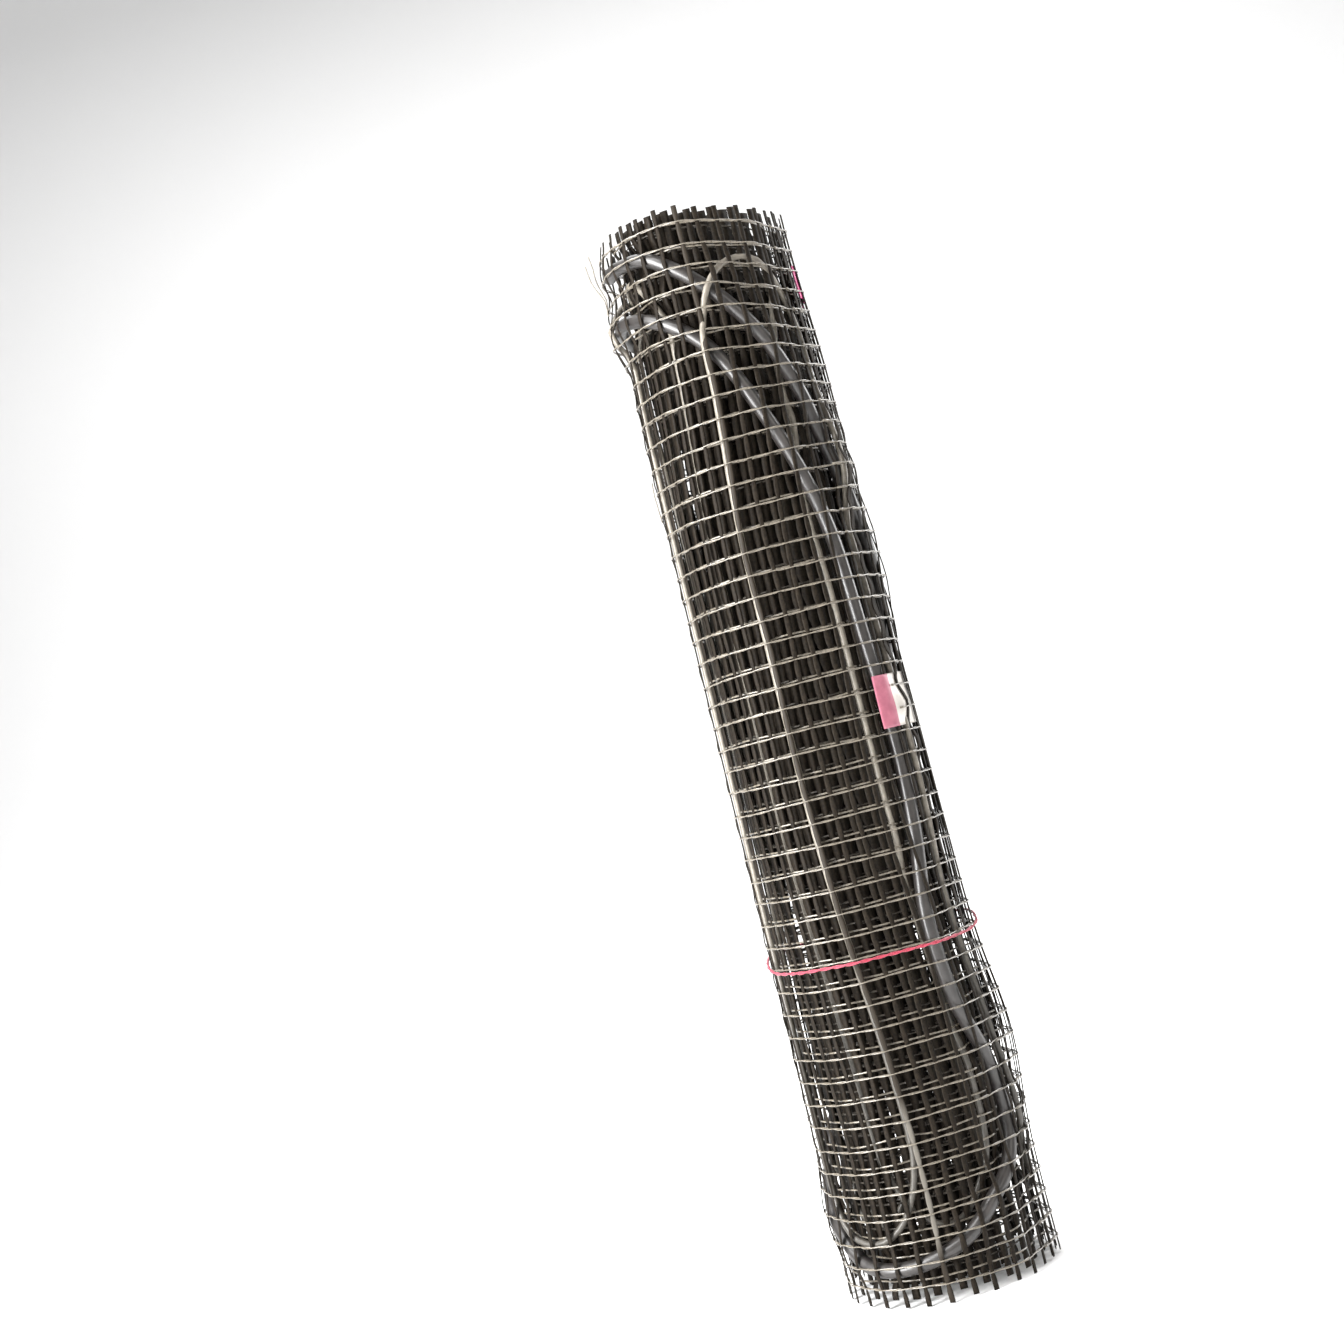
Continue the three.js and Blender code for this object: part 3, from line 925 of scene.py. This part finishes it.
def sheet_patch(name, patch, radial, materials_used, split=None):
    """A thin curved sheet lying on the mesh, with a little thickness and slightly lifted corners."""
    columns = 33
    rows = 17
    angle = np.linspace(patch["from"], patch["to"], columns)
    height = np.linspace(patch["low"], patch["high"], rows)
    angles, heights = np.meshgrid(angle, height, indexing="ij")
    radius = radial(angles, heights)
    corner = np.minimum(np.abs(angles - patch["from"]), np.abs(patch["to"] - angles)) / 6.0
    radius = radius + 0.15 * (1.0 - smooth(corner)) * np.abs(np.linspace(-1, 1, rows))[None, :]
    top = on_cylinder(angles, heights, radius + SHEET_HALF_THICKNESS)
    under = on_cylinder(angles, heights, radius - SHEET_HALF_THICKNESS)
    vertices = np.concatenate([top.reshape(-1, 3), under.reshape(-1, 3)])
    index = np.arange(columns * rows).reshape(columns, rows)
    back = index + columns * rows
    faces = [
        np.stack([index[:-1, :-1], index[1:, :-1], index[1:, 1:], index[:-1, 1:]], -1).reshape(-1, 4),
        np.stack([back[:-1, :-1], back[:-1, 1:], back[1:, 1:], back[1:, :-1]], -1).reshape(-1, 4),
    ]
    for rim, rim_back in ((index[:, 0], back[:, 0]), (index[-1, :], back[-1, :]),
                          (index[::-1, -1], back[::-1, -1]), (index[0, ::-1], back[0, ::-1])):
        faces.append(np.stack([rim[:-1], rim_back[:-1], rim_back[1:], rim[1:]], -1))
    quads = np.vstack(faces)
    none = np.zeros((0, 4), int)
    piece = build(name, [(vertices, quads, none)], materials_used[0])
    if split is not None:
        piece.data.materials.append(materials_used[1])
        column = np.minimum(quads[:, 0] % (columns * rows), quads[:, 2] % (columns * rows)) // rows
        slots = (angle[column] >= split).astype(np.int32)
        piece.data.polygons.foreach_set("material_index", slots)
    return piece


def make_labels(materials):
    def on_layer(angles, heights):
        wind = angles - lean(heights) - EDGE_ANGLE + 360.0
        return mesh_radius(wind, heights) + SHEET_OFF_MESH

    halves = (materials["pink"], materials["white"])
    label = sheet_patch("label_on_mesh", LABEL, on_layer, halves, LABEL["pink_to"])
    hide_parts("label")
    marker = sheet_patch("marker_on_mesh", MARKER, on_layer, (materials["magenta"],))
    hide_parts("marker_label")


def make_strays(materials):
    """Loose strand ends that stand off the roll's left side."""
    strays = (
        ((-92.0, 470.0, 0.4), (-91.0, 482.0, 2.2), (-90.0, 493.0, 4.2), (-89.0, 499.0, 6.4)),
        ((-86.0, 468.0, 0.6), (-87.0, 480.0, 3.0), (-89.0, 490.0, 6.2), (-90.0, 495.0, 8.0)),
        ((-84.0, 366.0, 0.4), (-87.0, 372.0, 1.4), (-89.0, 379.0, 2.0), (-88.0, 386.0, 1.4)),
    )
    parts = []
    for stray in strays:
        angle, height, away = np.array(stray).T
        share = np.linspace(0.0, 1.0, len(stray))
        fine = np.linspace(0.0, 1.0, 20)
        angle, height, away = (np.interp(fine, share, values) for values in (angle, height, away))
        path = on_cylinder(angle, height, outer_skin(angle, height) + away)[None]
        parts.append(swept(path, STRAY_HALF_WIDTH, STRAY_HALF_THICKNESS, 6))
    build("stray_strands", parts, materials["warp"])


# The set

def make_backdrop():
    """A seamless pale floor that curves up into a wall well behind the roll."""
    depth = [-4.0, 2.2]
    bend = [(2.2 + 1.6 * math.sin(t), 1.6 - 1.6 * math.cos(t)) for t in np.linspace(0.1, math.pi / 2, 16)]
    profile = [(depth[0], 0.0), (depth[1], 0.0), *bend, (3.8, 6.0)]
    vertices = [(x, y, z) for x in (-5.0, 5.0) for y, z in profile]
    count = len(profile)
    faces = [(i, i + 1, count + i + 1, count + i) for i in range(count - 1)]
    mesh = bpy.data.meshes.new("backdrop")
    mesh.from_pydata(vertices, [], faces)
    for polygon in mesh.polygons:
        polygon.use_smooth = True
    material, shader, _, _ = principled("pale_backdrop", 0.9)
    shader.inputs["Base Color"].default_value = (0.86, 0.86, 0.86, 1.0)
    mesh.materials.append(material)
    backdrop = bpy.data.objects.new("backdrop", mesh)
    bpy.context.collection.objects.link(backdrop)


def make_area_light(name, place_at, aim, size, power, color=(1.0, 1.0, 1.0)):
    data = bpy.data.lights.new(name, "AREA")
    data.shape = "RECTANGLE"
    data.size = size[0]
    data.size_y = size[1]
    data.energy = power
    data.color = color
    light = bpy.data.objects.new(name, data)
    light.location = place_at
    light.rotation_euler = (Vector(aim) - Vector(place_at)).to_track_quat("-Z", "Y").to_euler()
    bpy.context.collection.objects.link(light)


def make_lights():
    middle = (0.0, 0.0, 0.25)
    make_area_light("key_softbox", (-1.22, -0.85, 0.55), middle, (0.7, 1.6), 98.0)
    make_area_light("front_fill", (0.9, -1.3, 0.9), middle, (0.9, 0.9), 6.0, (1.0, 0.95, 0.88))
    make_area_light("right_rim", (1.3, 0.55, 0.7), middle, (0.7, 1.2), 22.0)
    make_area_light("top_soft", (-0.55, -0.45, 1.45), middle, (0.7, 0.7), 14.0)
    make_area_light("floor_wash", (0.0, 1.4, 2.4), (0.0, 1.6, 0.0), (3.0, 2.0), 95.0)
    world = bpy.data.worlds.new("studio")
    world.use_nodes = True
    world.node_tree.nodes["Background"].inputs["Color"].default_value = (1.0, 1.0, 1.0, 1.0)
    world.node_tree.nodes["Background"].inputs["Strength"].default_value = 0.33
    bpy.context.scene.world = world


def make_camera():
    data = bpy.data.cameras.new("camera")
    data.sensor_width = 36.0
    data.lens = CAMERA_LENS
    camera = bpy.data.objects.new("camera", data)
    camera.location = CAMERA_PLACE
    look = (Vector(CAMERA_AIM) - Vector(CAMERA_PLACE)).to_track_quat("-Z", "Y")
    camera.rotation_mode = "QUATERNION"
    camera.rotation_quaternion = look @ Quaternion((0.0, 0.0, 1.0), math.radians(CAMERA_ROLL))
    bpy.context.collection.objects.link(camera)
    bpy.context.scene.camera = camera


make_camera()
make_lights()
make_backdrop()
piece_materials = make_materials()
make_mesh(piece_materials)
make_heating_cable(piece_materials)
make_cold_lead(piece_materials)
make_splice(piece_materials)
make_string(piece_materials)
make_labels(piece_materials)
make_strays(piece_materials)
bpy.context.scene.view_settings.view_transform = "Standard"
